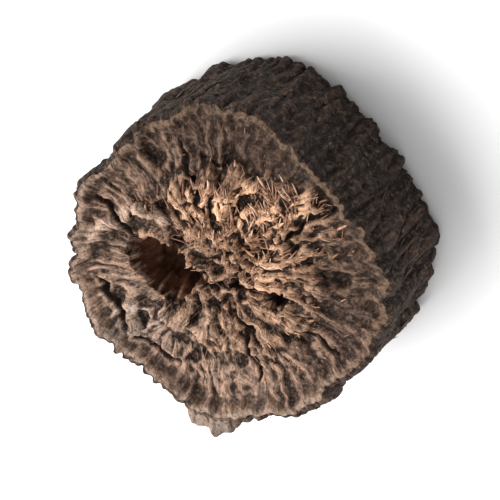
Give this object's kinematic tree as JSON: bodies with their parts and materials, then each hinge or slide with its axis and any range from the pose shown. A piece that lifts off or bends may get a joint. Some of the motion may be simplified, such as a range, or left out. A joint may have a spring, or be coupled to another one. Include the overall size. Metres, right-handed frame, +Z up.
{
  "type": "dried burdock root slice",
  "caption": "Thick cross-cut slice of dried burdock root, for brewing as tea, with furrowed bark round a dished cut face and a hollow pith.",
  "frame": {"origin": "middle of the footprint, on the lower cut end that the slice lies on", "axes": "+Z up along the root, out of the upper cut end; +X and +Y across it, with the torn flap of bark towards -Y"},
  "size_m": [0.0148, 0.0154, 0.007],
  "materials": {
    "dried_root": "matte"
  },
  "bodies": {
    "root": {"burdock_root_slice": "dried_root"}
  },
  "joints": []
}
